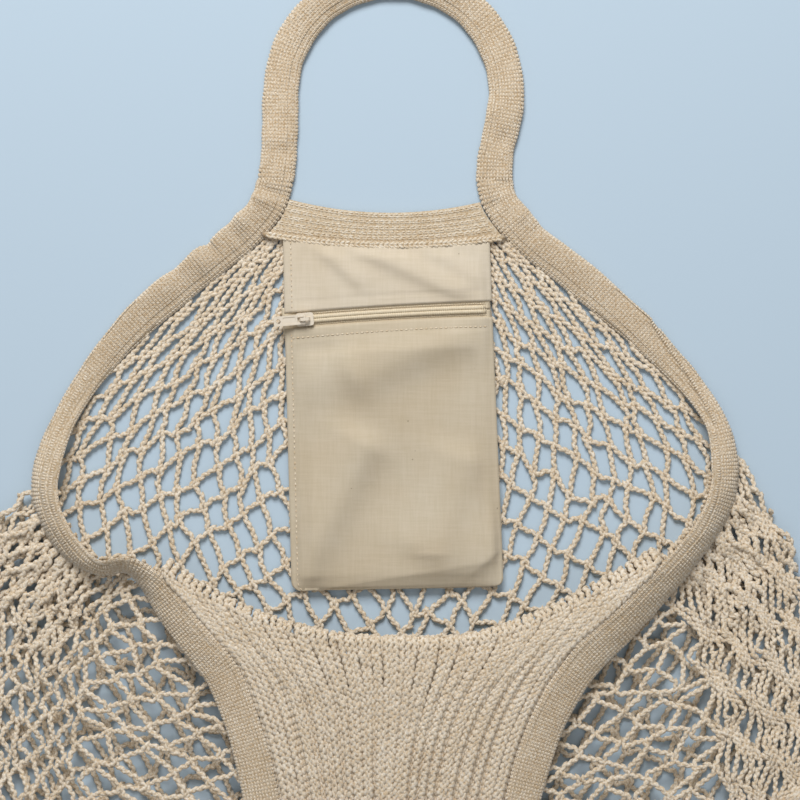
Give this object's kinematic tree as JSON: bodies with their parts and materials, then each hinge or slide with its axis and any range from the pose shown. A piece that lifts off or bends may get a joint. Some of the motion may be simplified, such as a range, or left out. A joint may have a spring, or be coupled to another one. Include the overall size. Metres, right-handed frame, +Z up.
{
  "type": "net bag with zip pocket",
  "caption": "Cotton net bag lying open, its front turned down, with knitted mouth bands and handle loops, bindings at the handles' feet and a zipped cloth pocket inside.",
  "frame": {"origin": "middle of the bag's outline on the surface that it lies on", "axes": "+Z up from that surface, +Y towards the back handle, +X to the right seen from above"},
  "size_m": [0.4797, 0.6648, 0.0282],
  "materials": {
    "net_cotton": "matt knitted cotton net",
    "band_knit": "matt ribbed cotton knit",
    "calico": "matt plain-weave cotton",
    "zip_nylon": "satin",
    "zip_enamel": "satin enamel"
  },
  "bodies": {
    "bag": {"net_back": "net_cotton", "net_front": "net_cotton", "mouth_band_left": "band_knit", "mouth_band_right": "band_knit", "handle_back": "band_knit", "handle_front": "band_knit", "binding_back": "band_knit", "binding_front": "band_knit", "pocket_back": "calico", "pocket_front_upper": "calico", "pocket_front_lower": "calico", "zip_tape_upper": "zip_nylon", "zip_tape_lower": "zip_nylon", "zip_coil_upper": "zip_nylon", "zip_coil_lower": "zip_nylon", "zip_slider": "zip_enamel"},
    "pull": {"zip_pull": "zip_enamel"}
  },
  "joints": [
    {"name": "pull_swing", "type": "hinge", "parent": "bag", "child": "pull", "pos_m": [-0.04643, 0.13651, 0.0114], "axis": [-0.0872, 0.9962, 0], "range_deg": [0, 180]}
  ]
}
